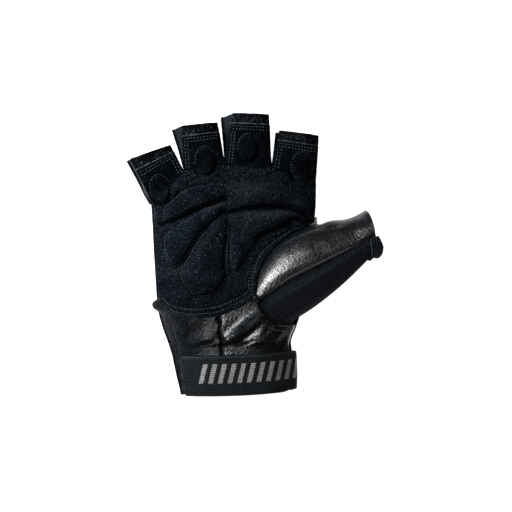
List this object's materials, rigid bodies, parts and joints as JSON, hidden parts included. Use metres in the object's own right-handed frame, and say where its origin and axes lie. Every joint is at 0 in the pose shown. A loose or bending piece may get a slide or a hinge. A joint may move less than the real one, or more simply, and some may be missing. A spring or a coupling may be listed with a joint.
{
  "type": "fingerless weightlifting glove",
  "caption": "Right-hand fingerless weightlifting glove lying palm up, with padded suede palm, leather and knit thumb, and elastic wrist strap.",
  "frame": {"origin": "centre of the bounding box, at the level the glove rests on", "axes": "+X towards the thumb, +Y along the hand towards the fingers, +Z out of the palm"},
  "size_m": [0.1644, 0.1806, 0.0336],
  "materials": {
    "suede": "matt black suede with a short nap",
    "pad_suede": "matt black suede over foam",
    "band": "black leather, raw edge",
    "leather": "glossy black grained leather",
    "knit": "black ribbed stretch knit",
    "elastic": "charcoal woven elastic"
  },
  "bodies": {
    "root": {"palm_panel": "suede", "palm_pad_knuckles_outer": "pad_suede", "palm_pad_knuckles_inner": "pad_suede", "palm_pad_little": "pad_suede", "palm_pad_heel": "pad_suede", "palm_pad_thumb": "pad_suede", "finger_pad_little": "pad_suede", "finger_pad_ring": "pad_suede", "finger_pad_middle": "pad_suede", "finger_pad_index": "pad_suede", "end_band_little": "band", "end_band_ring": "band", "end_band_middle": "band", "end_band_index": "band", "gusset_little_ring": "knit", "gusset_ring_middle": "knit", "gusset_middle_index": "knit", "outer_side_wall": "leather", "index_side_wall": "knit", "back_panel": "knit", "cuff_leather_outer": "leather", "cuff_leather_inner": "leather", "side_binding": "leather", "thumb_leather": "leather", "thumb_knit": "knit", "thumb_band": "knit", "wrist_strap": "elastic"}
  },
  "joints": []
}
